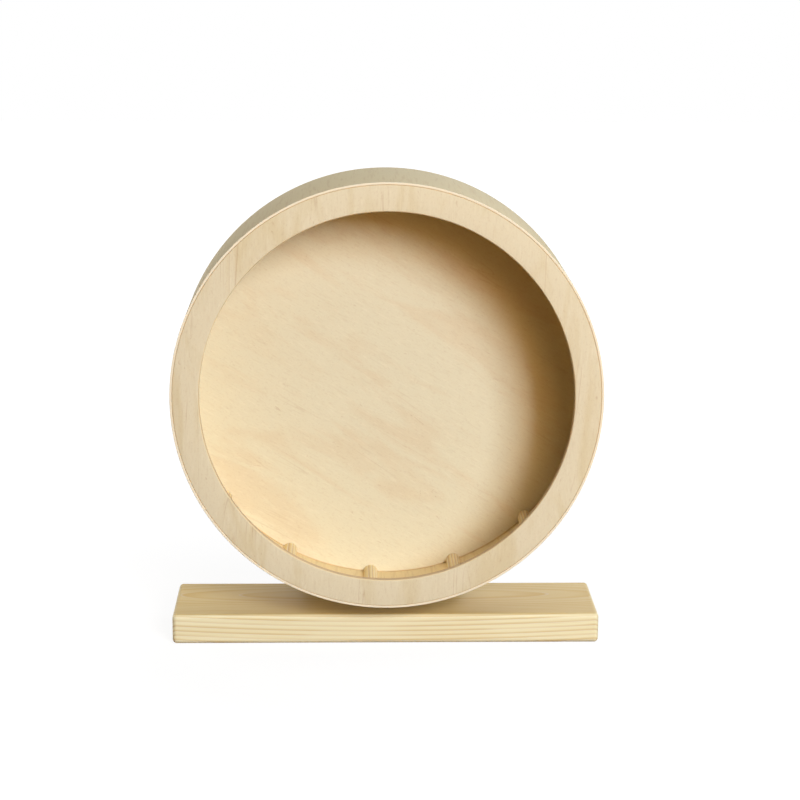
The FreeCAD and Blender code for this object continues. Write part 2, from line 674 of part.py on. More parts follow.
def draw_upright(outline):
    """A foot line, two sides that lean in, and a round head that they run into without a corner."""
    half_foot = value("Sizes.upright_foot / 2")
    head = value("Sizes.upright_head / 2")
    rise = value("Places.axle_height")
    meeting = math.atan2(-rise, half_foot) + math.acos(head / math.hypot(half_foot, rise))
    centre = FreeCAD.Vector(0, rise, 0)
    right = centre + FreeCAD.Vector(head * math.cos(meeting), head * math.sin(meeting), 0)
    left = FreeCAD.Vector(-right.x, right.y, 0)
    foot_right = FreeCAD.Vector(half_foot, 0, 0)
    foot_left = FreeCAD.Vector(-half_foot, 0, 0)
    circle = Part.Circle(centre, FreeCAD.Vector(0, 0, 1), head)
    foot = outline.addGeometry(Part.LineSegment(foot_left, foot_right), False)
    right_side = outline.addGeometry(Part.LineSegment(foot_right, right), False)
    crown = outline.addGeometry(Part.ArcOfCircle(circle, meeting, math.pi - meeting), False)
    left_side = outline.addGeometry(Part.LineSegment(left, foot_left), False)
    tie(outline, "Coincident", foot, END_INDEX, right_side, START_INDEX)
    tie(outline, "Tangent", right_side, END_INDEX, crown, START_INDEX)
    tie(outline, "Tangent", crown, END_INDEX, left_side, START_INDEX)
    tie(outline, "Coincident", left_side, END_INDEX, foot, START_INDEX)
    pin_point(outline, foot, START_INDEX, "-Sizes.upright_foot / 2", "0")
    pin_point(outline, foot, END_INDEX, "Sizes.upright_foot / 2", "0")
    pin_point(outline, crown, CENTRE_INDEX, "0", "Places.axle_height")
    index = tie(outline, "Radius", crown, head)
    outline.setExpression(f"Constraints[{index}]", "Sizes.upright_head / 2")


def make_upright():
    """The post behind the board and the drum, with a stepped hole that seats a bearing from each side."""
    upright = new_body("upright")
    outline = new_sketch(upright, "outline", "XZ_Plane")
    draw_upright(outline)
    add_feature(upright, "Pad", "board", outline, "Places.upright_thickness", True)
    add_dress_up(
        upright, "Fillet", "ease", "Sizes.upright_ease",
        lambda edge: edge.BoundBox.YLength < TOUCHING and edge.BoundBox.ZMax > TOUCHING,
    )
    countersunk_holes(
        upright, "screw_holes", "XZ_Plane", "-Places.upright_thickness", stand_screw_spots(),
        "Sizes.stand_screw_diameter", "Sizes.stand_screw_head",
    )
    seats = (
        ("front_seat", "0", "Places.bearing_radius", "Sizes.bearing_width", False),
        ("rear_seat", "-Places.upright_thickness", "Places.bearing_radius", "Sizes.bearing_width", True),
        ("web_hole", "0", "Places.web_radius", "Places.upright_thickness", False),
    )
    for name, offset, radius, depth, reverse in seats:
        section = new_sketch(upright, f"{name}_section", "XZ_Plane", offset)
        draw_circle(section, "0", "Places.axle_height", radius)
        add_feature(upright, "Pocket", name, section, depth, reverse)
    place(upright, "Places.upright_front", up="0")
    keep(upright)


def make_upright_screws():
    """Screws from behind, through the upright's foot into the back edge of the base board."""
    screws = []
    for number, (across, up) in enumerate(stand_screw_spots(), start=1):
        screw = wood_screw(
            f"upright_screw_{number}", "Sizes.stand_screw_diameter",
            "Sizes.stand_screw_head", "Places.stand_screw_length",
        )
        spot = f"vector({across}; Places.upright_back; {up})"
        screw.setExpression("Placement", f"placement({spot}; rotation(vector(0; 0; 1); {HALF_TURN}))")
        screws.append(screw)
    group("upright_screws", screws)


def check_and_write():
    """Stop at the first object that failed, then write each piece to its own file."""
    doc.recompute()
    for thing in doc.Objects:
        if "Invalid" in thing.State or "Error" in thing.State:
            raise RuntimeError(f"{thing.Label} failed: {thing.State}")
    for piece in pieces:
        if piece.Shape.isNull() or not piece.Shape.isValid() or not piece.Shape.Solids:
            raise RuntimeError(f"{piece.Label} has no sound solid")
    os.makedirs(PARTS_FOLDER, exist_ok=True)
    for piece in pieces:
        piece.Shape.exportStep(f"{PARTS_FOLDER}/{piece.Label}.step")


sheet = fill_sheets()
make_base_board()
make_upright()
make_upright_screws()
make_front_ring()
make_tread_strip()
make_back_disc()
make_rungs()
make_hub_block()
make_hub_screws()
make_axle_bolt()
make_clamped_rings()
make_lock_nut()
make_bearing("front_bearing", "Places.upright_front")
make_bearing("rear_bearing", "Places.rear_bearing_front")
check_and_write()
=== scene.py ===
"""Looks of a wooden exercise wheel for small rodents, laid over its packed construction model.

Every length is in metres, in the construction model's frame: x to the right seen from the open front,
y from the open front to the back along the axle, z up. The drum turns about the axle, the line x = 0,
z = AXLE_HEIGHT.
"""

import json
import math

import bpy
import numpy as np
from bpy.props import FloatProperty, FloatVectorProperty, PointerProperty
from mathutils import Matrix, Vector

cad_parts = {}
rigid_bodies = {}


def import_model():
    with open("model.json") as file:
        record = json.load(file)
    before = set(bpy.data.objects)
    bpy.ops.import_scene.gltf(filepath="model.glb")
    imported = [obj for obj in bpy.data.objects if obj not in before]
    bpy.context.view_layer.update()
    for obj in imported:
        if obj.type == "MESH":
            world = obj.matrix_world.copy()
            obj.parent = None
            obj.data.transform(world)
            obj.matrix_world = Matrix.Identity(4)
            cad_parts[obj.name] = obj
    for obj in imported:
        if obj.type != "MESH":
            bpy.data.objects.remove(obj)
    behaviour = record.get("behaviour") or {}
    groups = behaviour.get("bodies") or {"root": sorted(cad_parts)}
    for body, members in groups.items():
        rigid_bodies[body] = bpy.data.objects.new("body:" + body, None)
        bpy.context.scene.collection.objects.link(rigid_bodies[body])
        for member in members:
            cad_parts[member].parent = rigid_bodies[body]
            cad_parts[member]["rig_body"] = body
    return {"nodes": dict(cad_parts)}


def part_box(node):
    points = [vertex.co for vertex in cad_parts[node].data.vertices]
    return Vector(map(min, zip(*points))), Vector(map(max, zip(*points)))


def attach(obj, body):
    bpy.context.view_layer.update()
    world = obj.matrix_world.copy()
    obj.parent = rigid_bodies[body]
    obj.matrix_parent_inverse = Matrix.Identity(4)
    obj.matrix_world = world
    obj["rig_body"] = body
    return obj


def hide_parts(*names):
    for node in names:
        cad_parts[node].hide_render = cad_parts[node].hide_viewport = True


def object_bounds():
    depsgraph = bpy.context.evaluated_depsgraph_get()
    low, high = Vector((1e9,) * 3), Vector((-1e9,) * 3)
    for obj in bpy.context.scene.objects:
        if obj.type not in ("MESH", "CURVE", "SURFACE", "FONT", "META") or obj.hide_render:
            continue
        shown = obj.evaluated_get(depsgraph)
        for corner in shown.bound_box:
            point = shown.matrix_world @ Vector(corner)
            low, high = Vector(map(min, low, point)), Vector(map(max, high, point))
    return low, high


bl_info = {
    "name": "Wooden Exercise Wheel",
    "version": (1, 0, 0),
    "blender": (4, 5, 0),
    "location": "View3D > Sidebar > Exercise Wheel",
    "description": "Dresses a rodent exercise wheel in sanded plywood, planed pine and plated steel",
    "category": "Object",
}

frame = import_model()
CAD_BOX = [list(corner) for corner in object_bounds()]

MM = 0.001
TAU = math.tau
QUARTER = TAU / 4

RUNGS = sorted(node for node in frame["nodes"] if node.startswith("rung_"))
BEARINGS = ("front_bearing", "rear_bearing")

RING_LOW, RING_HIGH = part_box("front_ring")
STRIP_LOW, STRIP_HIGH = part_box("tread_strip")
DISC_LOW, DISC_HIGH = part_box("back_disc")
BOLT_LOW, BOLT_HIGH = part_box("axle_bolt")
NUT_LOW, NUT_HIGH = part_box("lock_nut")

AXLE_HEIGHT = (RING_LOW.z + RING_HIGH.z) / 2
RING_RADIUS = RING_HIGH.x
STRIP_RADIUS = STRIP_HIGH.x
DISC_RADIUS = DISC_HIGH.x
HUB_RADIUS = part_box("hub_block")[1].x
FLOOR_HEIGHT = CAD_BOX[0][2]
HUB_SCREWS = 4
STAND_SCREWS = 3

ROUND_SIDES = 360
SMALL_SIDES = 96
ARC_POINTS = 7
SAME_POINT = 0.001 * MM
SHARP_ANGLE = math.radians(32)
PAPER_HALF = 4.0
PAPER_GAP = 0.1 * MM

# Each softbox: what it is, its watts and colour, how far away and wide it is in millimetres, and how far
# right of the front and up from level it stands in degrees.
SOFTBOXES = {
    "key": ("Daylight softbox at the front right", 116.0, "#def0ff", 3500.0, 1200.0, 24.2, 21.0),
    "fill": ("Warm softbox by the key, for soft shadow edges", 8.7, "#ffcc89", 1600.0, 500.0, 14.3, 18.1),
    "top": ("Softbox above and in front of the object", 14.0, "#ffffff", 4000.0, 2200.0, 8.0, 60.0),
    "rear": ("Softbox above and behind the object", 45.0, "#ffffff", 3000.0, 3000.0, 150.0, 36.0),
    "left": ("Low softbox on the left and behind the object", 64.0, "#ffffff", 3000.0, 1600.0, 236.0, 3.0),
}


def linear(code):
    """Turns an sRGB hex code into a linear colour with full alpha."""
    shares = [int(code[place:place + 2], 16) / 255 for place in (1, 3, 5)]
    return (*(s / 12.92 if s <= 0.04045 else ((s + 0.055) / 1.055) ** 2.4 for s in shares), 1.0)


def length(label, about, millimetres):
    """A length that a user may set, given in millimetres."""
    return FloatProperty(name=label, description=about, default=millimetres * MM, precision=5, unit="LENGTH")


def angle(label, about, degrees):
    """An angle that a user may set, given in degrees."""
    return FloatProperty(name=label, description=about, default=math.radians(degrees), subtype="ANGLE")


def power(label, about, watts):
    """A lamp's power that a user may set, in watts."""
    return FloatProperty(name=label, description=about, default=watts, min=0, unit="POWER")


def colour(label, about, code):
    """A colour that a user may set, given as an sRGB hex code."""
    return FloatVectorProperty(name=label, description=about, default=linear(code), size=4, min=0, max=1,
                               subtype="COLOR")


def softbox_settings(name, about, watts, light, away, side, right, up):
    """The settings of one softbox that a user may change, each under the softbox's name."""
    label = name.capitalize()
    return {
        f"{name}_power": power(f"{label} power", about, watts),
        f"{name}_colour": colour(f"{label} colour", "Colour of the softbox's light", light),
        f"{name}_away": length(f"{label} away", "From the softbox to the middle of the front rim", away),
        f"{name}_side": length(f"{label} side", "Side of the square softbox", side),
        f"{name}_right": angle(f"{label} right", "How far right of the front the softbox stands", right),
        f"{name}_up": angle(f"{label} up", "How far above level the softbox stands", up),
    }


class WheelSizes(bpy.types.PropertyGroup):
    """Sizes of the dressed pieces that the construction nodes' boxes don't give"""

    mouth_radius: length("Mouth radius", "Inside radius of the front ring", 125.5)
    lip_easing: length("Lip easing", "Rounding of the ring's edges at the mouth", 1.0)
    glue_groove: length("Glue groove", "Bevel on the ring's front rim, which holds a line of glue", 0.4)
    panel_easing: length("Panel easing", "Rounding of the other sawn plywood edges", 0.3)
    strip_thickness: length("Strip thickness", "Thickness of the bent strip", 1.5)
    seam_gap: length("Seam gap", "Gap where the two ends of the bent strip meet", 0.12)
    seam_turn: angle("Seam turn", "Turn of the seam from the bottom of the drum, to the left", 81.5)
    stick_radius: length("Stick radius", "Radius of the half-round sticks", 5.0)
    stick_turn: angle("First stick", "Turn of the first stick from the bottom of the drum, to the left", 4.0)
    stick_easing: length("Stick easing", "Rounding of the sticks' sawn ends", 0.35)
    hexagon_flats: length("Hexagon flats", "Width of the bolt's head and the nut across their flats", 13.0)
    bolt_head: length("Bolt head", "Height of the bolt's hexagon head", 5.3)
    bolt_radius: length("Bolt radius", "Radius of the bolt over its thread", 3.95)
    thread_start: length("Thread start", "Length of the bolt's thread from its tail", 22.0)
    thread_pitch: length("Thread pitch", "Distance between the bolt's thread crests", 1.25)
    thread_depth: length("Thread depth", "Depth of the bolt's thread", 0.6)
    nut_bore: length("Nut bore", "Radius of the hole in the nut", 4.0)
    nut_hexagon: length("Nut hexagon", "Height of the nut's hexagon", 5.5)
    nut_collar: length("Nut collar", "Radius of the round collar behind the nut's hexagon", 5.8)
    insert_radius: length("Insert radius", "Radius of the seat for the nut's nylon ring", 5.1)
    insert_depth: length("Insert depth", "Depth of the seat for the nut's nylon ring", 1.9)
    ring_bore: length("Ring bore", "Radius of the hole in the spacers and the washer", 4.2)
    hub_screw_ring: length("Hub screw ring", "Radius of the circle of screws in the hub", 24.0)
    hub_screw_head: length("Hub screw head", "Head radius of the hub's screws", 3.0)
    hub_screw_shank: length("Hub screw shank", "Thread radius of the hub's screws", 1.5)
    stand_screw_step: length("Stand screw step", "Distance between the screws in the upright's foot", 42.0)
    stand_screw_head: length("Stand screw head", "Head radius of the screws in the upright's foot", 4.0)
    stand_screw_shank: length("Stand screw shank", "Thread radius of the screws in the upright's foot", 2.0)


class WheelColours(bpy.types.PropertyGroup):
    """Colours of the woods, metals and plastic"""

    ring_pale: colour("Ring pale", "Pale bands of the ring's veneer", "#e4d6b7")
    ring_warm: colour("Ring warm", "Warm bands of the ring's veneer", "#ddcca7")
    disc_pale: colour("Disc pale", "Pale bands of the disc's veneer", "#e4dabd")
    disc_warm: colour("Disc warm", "Warm bands of the disc's veneer", "#e1d2b3")
    hub_pale: colour("Hub pale", "Pale bands of the hub's veneer", "#e2cda4")
    hub_warm: colour("Hub warm", "Warm bands of the hub's veneer", "#cfae7c")
    veneer_fleck: colour("Veneer fleck", "Dark flecks and growth lines in every veneer", "#a9763f")
    veneer_shine: colour("Veneer shine", "Light flecks in every veneer", "#fff4dc")
    ply_long: colour("Ply along", "Sawn plies whose fibres run along the edge", "#ead6ad")
    ply_cross: colour("Ply across", "Sawn plies whose fibres end at the edge", "#cfae90")
    glue: colour("Glue", "Dried glue between the panels and the strip, on the disc also painted corner shade", "#dabf94")
    strip_outside: colour("Strip outside", "Outer veneer of the bent strip", "#dbcba4")
    strip_inside: colour("Strip inside", "Inner veneer of the bent strip", "#f4deaf")
    strip_edge: colour("Strip edge", "Sawn edge of the bent strip", "#f6e8cc")
    stick_early: colour("Stick early wood", "Pale growth in the half-round sticks", "#f6e3b4")
    stick_late: colour("Stick late wood", "Dark growth lines in the half-round sticks", "#dab886")
    pine_early: colour("Pine early wood", "Pale growth in the planed pine", "#f8edc5")
    pine_late: colour("Pine late wood", "Dark growth lines in the planed pine", "#e3ca94")
    pine_warm: colour("Pine warm", "Broad warm patches in the planed pine", "#e8d29e")
    # Painted shade: the darker, yellower tone laid on the pine's upward faces.
    pine_top_shade: colour("Pine top shade", "Painted shade on the planed pine's upward faces", "#c9a34a")
    zinc: colour("Zinc", "Zinc plating", "#c4c7c9")
    zinc_stain: colour("Zinc stain", "Dull patches of the plating", "#a9aaa6")
    race_steel: colour("Race steel", "Ground bearing steel", "#c8c8c6")
    shield_steel: colour("Shield steel", "Pressed steel of the bearing shields", "#b4b5b7")
    oil_film: colour("Oil film", "Thin dull film on the bearings", "#9a9a98")
    nylon: colour("Nylon", "Moulded nylon", "#e6e3d8")
    nylon_cloud: colour("Nylon cloud", "Cloudy patches in the nylon", "#d8d2c0")
    paper: colour("Paper", "Studio paper, as it lights the object", "#765228")
    paper_shadow: colour("Paper shadow", "Studio paper, as far as it takes a shadow", "#6e6e6e")
    room: colour("Room", "Light from all round", "#ffe3bd")


class WheelStudio(bpy.types.PropertyGroup):
    """Camera and lamps"""

    lens: FloatProperty(name="Lens", description="Focal length", default=103.5, unit="CAMERA")
    distance: length("Distance", "From the camera to the middle of the front rim", 1533.1)
    height_turn: angle("Height", "How far above the axle the camera stands", 11.977)
    side_turn: angle("Side", "How far left of the axle the camera stands", 1.467)
    roll: angle("Roll", "How far the camera leans", 0.24)
    shift_right: length("Shift right", "How far right of the rim's middle the camera aims", 8.47)
    shift_down: length("Shift down", "How far below the rim's middle the camera aims", -0.52)
    ambient: FloatProperty(name="Ambient", description="Strength of the light from all round", default=0.006,
                           min=0)


for softbox_name, softbox_values in SOFTBOXES.items():
    WheelStudio.__annotations__.update(softbox_settings(softbox_name, *softbox_values))


# Surfaces


def eased(corners, radii):
    """Rounds the corners of a closed outline. Each corner becomes an arc that is tangent to its two sides:
    it starts and ends one tangent length, radius / tan(half the corner's angle), from the corner, and its
    middle lies on the corner's bisector at radius / sin(half the angle). A corner of radius 0 stays one
    point."""
    here = np.asarray(corners, float)
    radii = np.broadcast_to(np.asarray(radii, float), len(here))[:, None]
    before, after = np.roll(here, 1, 0) - here, np.roll(here, -1, 0) - here
    before /= np.linalg.norm(before, axis=1, keepdims=True)
    after /= np.linalg.norm(after, axis=1, keepdims=True)
    half = np.arccos(np.clip((before * after).sum(1, keepdims=True), -1, 1)) / 2
    bisector = before + after
    bisector /= np.linalg.norm(bisector, axis=1, keepdims=True)
    middle = here + bisector * radii / np.sin(half)
    start = here + before * radii / np.tan(half) - middle
    stop = here + after * radii / np.tan(half) - middle
    turn = (math.pi - 2 * half)[:, None]
    share = np.linspace(0, 1, ARC_POINTS)[None, :, None]
    arcs = np.sin((1 - share) * turn) * start[:, None] + np.sin(share * turn) * stop[:, None]
    line = (middle[:, None] + arcs / np.sin(turn)).reshape(-1, 2)
    apart = np.linalg.norm(line - np.roll(line, 1, 0), axis=1) > SAME_POINT
    return line[apart]


def rectangle(inner, outer, front, back):
    """Corners of a section between two distances from the axle, from front to back."""
    return [(inner, front), (outer, front), (outer, back), (inner, back)]


def stepped(corners, steps):
    """Points along an open line of corners, with so many equal steps on each of its spans."""
    spans = zip(corners[:-1], corners[1:], steps)
    runs = [np.linspace(start, stop, count, endpoint=False) for start, stop, count in spans]
    return np.concatenate([*runs, [corners[-1]]])


def turned(radius, depth, sides):
    """A profile carried round the axle: x = r sin t, y = depth, z = axle height + r cos t. The radius may
    change with the turn t as well, as a hexagon's and a thread's do."""
    turn = np.linspace(0, TAU, sides, endpoint=False)
    radius, depth, turn = np.broadcast_arrays(radius, depth, turn)
    return np.stack([radius * np.sin(turn), depth, AXLE_HEIGHT + radius * np.cos(turn)], axis=-1)


def turned_section(corners, radii, sides):
    """A closed section with rounded corners, each a radius and a depth, carried round the axle."""
    section = eased(corners, radii)
    return turned(section[:, :1], section[:, 1:], sides)


def hexagon(turn, flats):
    """Distance from the middle of a hexagon to its side: half its width across flats / cos(turn from the
    nearest side's middle)."""
    return flats / 2 / np.cos((turn + TAU / 12) % (TAU / 6) - TAU / 12)


def skin(name, grids, looped=False, fields=None):
    """Makes one mesh object from grids of points. Four-sided faces join neighbouring rows and columns, and
    the last column to the first. Where looped, the last row is joined to the first too, and otherwise a flat
    face closes each of the two end rows. Where a grid's faces enclose a negative volume they are turned
    round, so that all face outwards. Each of the fields becomes an attribute of the points: one array for
    each grid."""
    points, faces, first = [], [], 0
    for grid in grids:
        rows, columns = grid.shape[:2]
        place = grid.reshape(-1, 3)
        index = np.arange(rows * columns).reshape(rows, columns)
        ends = [] if looped else [index[0], index[-1][::-1]]
        index = np.concatenate([index, index[:, :1]], axis=1)
        if looped:
            index = np.concatenate([index, index[:1]])
        corners = (index[:-1, :-1], index[1:, :-1], index[1:, 1:], index[:-1, 1:])
        quads = np.stack(corners, axis=-1).reshape(-1, 4)
        a, b, c, d = np.moveaxis((place - place.mean(0))[quads], 1, 0)
        volume = (np.cross(a, b) * c).sum() + (np.cross(a, c) * d).sum()
        way = -1 if volume < 0 else 1
        faces += (quads[:, ::way] + first).tolist()
        faces += [(end[::way] + first).tolist() for end in ends]
        points.append(place)
        first += len(place)
    mesh = bpy.data.meshes.new(name)
    mesh.from_pydata(np.concatenate(points), [], faces)
    for label, arrays in (fields or {}).items():
        values = np.concatenate([array.reshape(-1, *array.shape[2:]) for array in arrays])
        kind, key = ("FLOAT_VECTOR", "vector") if values.ndim > 1 else ("FLOAT", "value")
        mesh.attributes.new(label, kind, "POINT").data.foreach_set(key, values.astype(np.float32).ravel())
    mesh.shade_smooth()
    mesh.set_sharp_from_angle(angle=SHARP_ANGLE)
    mesh.validate()
    piece = bpy.data.objects.new(name, mesh)
    bpy.context.scene.collection.objects.link(piece)
    return piece


def fit(piece, material, node):
    """Puts a new piece in a construction node's place: on its body, with the node hidden."""
    piece.data.materials.append(material)
    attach(piece, frame["nodes"][node]["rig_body"])
    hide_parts(node)


def finish_nodes(material, *nodes):
    """Gives construction nodes, whose shape is right as it is, their material."""
    for node in nodes:
        mesh = frame["nodes"][node].data
        mesh.materials.clear()
        mesh.materials.append(material)


def wood_screw(reach, head, shank, pitch, plain, recess_turn):
    """A countersunk wood screw driven from behind: the flat top of its head lies at y = 0 and its point at
    y = -reach.

    Over the head's top the radius grows from the middle to the rim, and the height is the depth of a cross
    recess: two crossed arms, each the product of a ramp across its width and a ramp along its length, of
    which the deeper counts. Below it a short land and a cone of 45 degrees lead to the shank. There the
    radius is an envelope, the shank's radius narrowing to the point, less the thread's depth times how far
    the height, less the turn's share of a pitch, lies from the nearest crest. Down to the plain length there
    is no thread."""
    head_rows, cone_rows, rows_a_pitch = 22, 6, 7
    core, land, point = 0.03 * head, 0.08 * head, 1.6 * head
    tip_share, thread_share = 0.04, 0.34
    arm_half, arm_reach, wall, recess_depth = 0.13 * head, 0.58 * head, 0.07 * head, 0.55 * head
    end_wall = 2.5 * wall
    cone_end = land + head - shank
    turn = np.linspace(0, TAU, SMALL_SIDES, endpoint=False)
    top = np.linspace(core, head, head_rows)
    cone = np.linspace(0, 1, cone_rows)
    shaft = np.linspace(cone_end, reach, int((reach - cone_end) / pitch * rows_a_pitch))[1:]
    envelope = np.clip((reach - shaft) / point, tip_share, 1) * shank
    radius = np.concatenate([top, head + cone * (shank - head), envelope])[:, None]
    height = np.concatenate([0 * top, land + cone * (cone_end - land), shaft])[:, None]
    crest = np.abs((height / pitch - turn / TAU) % 1 - 0.5) * 2
    threaded = np.clip((height - plain) / pitch, 0, 1)
    radius = radius * (1 - thread_share * threaded * (1 - crest ** 3))
    across, along = radius * np.cos(turn - recess_turn), radius * np.sin(turn - recess_turn)

    def arm(u, v):
        """How deep one arm of the recess is, from 0 to 1, at u across it and v along it."""
        sideways = np.clip((arm_half - np.abs(u)) / wall, 0, 1)
        return sideways * np.clip((arm_reach - np.abs(v)) / end_wall, 0, 1)

    recess = recess_depth * np.maximum(arm(across, along), arm(along, across)) * (height <= 0)
    return np.stack([radius * np.cos(turn), -height - recess, radius * np.sin(turn)], axis=-1)


# Materials


MIX_FACTOR, MIX_A, MIX_B, MIX_RESULT = 0, 6, 7, 2
WAVE_PERIOD = TAU / 20


def add_node(tree, kind, inputs, stops=(), **settings):
    """Adds a shader node with its settings and colour stops, and fills its inputs with values or links."""
    node = tree.nodes.new("ShaderNode" + kind)
    for name, value in settings.items():
        setattr(node, name, value)
    for place, shade in stops[1:]:
        node.color_ramp.elements.new(place).color = shade
    if stops:
        node.color_ramp.elements.remove(node.color_ramp.elements[-1])
        node.color_ramp.elements[0].position, node.color_ramp.elements[0].color = stops[0]
    for key, value in inputs.items():
        if isinstance(value, bpy.types.NodeSocket):
            tree.links.new(value, node.inputs[key])
        else:
            node.inputs[key].default_value = value
    return node


def new_material(name, roughness, **constants):
    """Starts a material whose shader holds constants on its own sockets, named with low lines for spaces,
    and hands it over with its nodes and the colours that a user may change."""
    material = bpy.data.materials.new(name)
    material.use_nodes = True
    shader = material.node_tree.nodes["Principled BSDF"]
    shader.inputs["Roughness"].default_value = roughness
    for key, value in constants.items():
        shader.inputs[key.replace("_", " ")].default_value = value
    return material, material.node_tree, bpy.context.scene.wheel_colours


def pattern(tree, vector, size, place=(0, 0, 0), turn=(0, 0, 0), detail=1.0, distortion=0.0):
    """A noise whose patches measure about size, in millimetres, along its own axes, which stand at place and
    are turned by the angles given."""
    own = add_node(tree, "Mapping", {"Vector": vector, "Location": place, "Rotation": turn,
                                     "Scale": [side * MM for side in size]}, vector_type="TEXTURE")
    noise = add_node(tree, "TexNoise", {"Vector": own.outputs["Vector"], "Scale": 1.0, "Detail": detail,
                                        "Distortion": distortion})
    return noise.outputs["Fac"]


def lay(tree, tone, over, value, low, high, most=1.0):
    """Lays a colour over a tone by a share that goes smoothly from nothing where the value is low to most
    where it is high. High may be the lesser of the two."""
    share = add_node(tree, "MapRange", {"Value": value, "From Min": low, "From Max": high, "To Max": most},
                     interpolation_type="SMOOTHSTEP")
    mixed = add_node(tree, "Mix", {MIX_FACTOR: share.outputs["Result"], MIX_A: tone, MIX_B: over},
                     data_type="RGBA")
    return mixed.outputs[MIX_RESULT]


def dress(material, tone, height, deep):
    """Gives a material its tone, and raises its surface by a height pattern so many millimetres deep."""
    tree = material.node_tree
    shader = tree.nodes["Principled BSDF"]
    bump = add_node(tree, "Bump", {"Height": height, "Distance": deep * MM, "Strength": 1.0})
    tree.links.new(tone, shader.inputs["Base Color"])
    tree.links.new(bump.outputs["Normal"], shader.inputs["Normal"])
    return material


def sanded_plywood(name, pale, warm, lean, cut, figure, rim, ply, mouth=0.0, glue=0.0):
    """Sanded rotary-cut birch plywood, untreated: a dull, dry face whose soft pale and warm bands, short
    flecks and few brown growth lines all run along the fibres, and a sawn edge with the plies in two tones.
    The fibres lie in the plane of the panel and lean by an angle from upright, and the cut is how deep in
    the log the veneer was peeled, which chooses its figure. A turned panel's edges are what lies near its
    rim, where a thin line of glue may show, on the disc both glue and painted shade of its corner with the
    strip, and near its mouth if it has one."""
    material, tree, palette = new_material(name, 0.62, IOR=1.5, Specular_IOR_Level=0.12)
    here = add_node(tree, "TexCoord", {}).outputs["Object"]
    fibres = {"vector": here, "place": (0, cut, AXLE_HEIGHT), "turn": (0, lean, 0)}
    bands = pattern(tree, size=(20, 60, 75), detail=5.0, distortion=0.8, **fibres)
    # Growth lines are where a slow noise crosses its middle, and show only in some places.
    waves = pattern(tree, size=(10, 60, 150), distortion=0.8, **fibres)
    places = pattern(tree, size=(22, 40, 60), **fibres)
    off_middle = add_node(tree, "Math", {0: waves, 1: 0.5}, operation="SUBTRACT").outputs[0]
    off_middle = add_node(tree, "Math", {0: off_middle}, operation="ABSOLUTE").outputs[0]
    line = add_node(tree, "MapRange", {"Value": off_middle, "From Max": 0.018, "To Min": 1.0, "To Max": 0.0})
    shown = add_node(tree, "MapRange", {"Value": places, "From Min": 0.52, "From Max": 0.66})
    growth = add_node(tree, "Math", {0: line.outputs[0], 1: shown.outputs[0]}, operation="MULTIPLY")
    # Flecks are about 0.3 mm wide in birch, and are drawn three times as wide to show.
    flecks = pattern(tree, size=(1.4, 6, 8), **fibres)
    speckle = pattern(tree, size=(1.2, 1.2, 1.8), detail=2.0, **fibres)
    marks = pattern(tree, size=(2.2, 6, 7), detail=1.5, distortion=1.5, **fibres)
    tone = lay(tree, pale, warm, bands, 0.46, 0.68)
    tone = lay(tree, tone, palette.veneer_shine, flecks, 0.42, 0.26, most=0.12)
    for brown, low, high, most in ((flecks, 0.56, 0.74, 0.07), (speckle, 0.5, 0.75, 0.09),
                                   (marks, 0.70, 0.78, 0.22), (growth.outputs[0], 0.0, 1.0, figure)):
        tone = lay(tree, tone, palette.veneer_fleck, brown, low, high, most)
    # The distance from the axle tells the sawn edges from the faces.
    flat = add_node(tree, "Mapping", {"Vector": here, "Location": (0, 0, -AXLE_HEIGHT), "Scale": (1, 0, 1)})
    out = add_node(tree, "VectorMath", {0: flat.outputs["Vector"]}, operation="LENGTH").outputs["Value"]
    plies = add_node(tree, "TexWave", {"Vector": here, "Scale": WAVE_PERIOD / (2 * ply), "Distortion": 0.4},
                     bands_direction="Y", wave_profile="SIN").outputs["Fac"]
    sawn = lay(tree, palette.ply_long, palette.ply_cross, plies, 0.4, 0.6)
    tone = lay(tree, tone, sawn, out, rim - 0.35 * MM, rim - 0.1 * MM)
    if mouth:
        tone = lay(tree, tone, sawn, out, mouth + 0.8 * MM, mouth + 0.2 * MM)
    # A line of glue at the rim; on the disc it is also painted shade in its corner with the strip.
    if glue:
        tone = lay(tree, tone, palette.glue, out, rim - glue, rim - glue / 2)
    return dress(material, tone, flecks, deep=0.05)


def bent_plywood():
    """Thin birch plywood bent round the drum and sanded: plain, dry and hardly figured, with its fibres
    across the strip. It is greyer outside than inside, and cream on its sawn edges. It reads the strip's own
    coordinates: along the bend, across it, and whether the point is inside or on an edge."""
    material, tree, palette = new_material("bent sanded birch plywood", 0.66, IOR=1.5,
                                           Specular_IOR_Level=0.12)
    along = add_node(tree, "Attribute", {}, attribute_name="bend").outputs["Vector"]
    inside, sawn = (add_node(tree, "Attribute", {}, attribute_name=field).outputs["Fac"]
                    for field in ("inside", "sawn"))
    bands = pattern(tree, along, size=(45, 300, 100), detail=3.0)
    streaks = pattern(tree, along, size=(1.6, 26, 100))
    tone = lay(tree, palette.strip_outside, palette.strip_inside, inside, 0.0, 1.0)
    tone = lay(tree, tone, palette.ring_warm, bands, 0.4, 0.7, most=0.25)
    tone = lay(tree, tone, palette.veneer_fleck, streaks, 0.5, 0.75, most=0.14)
    tone = lay(tree, tone, palette.strip_edge, sawn, 0.0, 1.0)
    return dress(material, tone, streaks, deep=0.04)


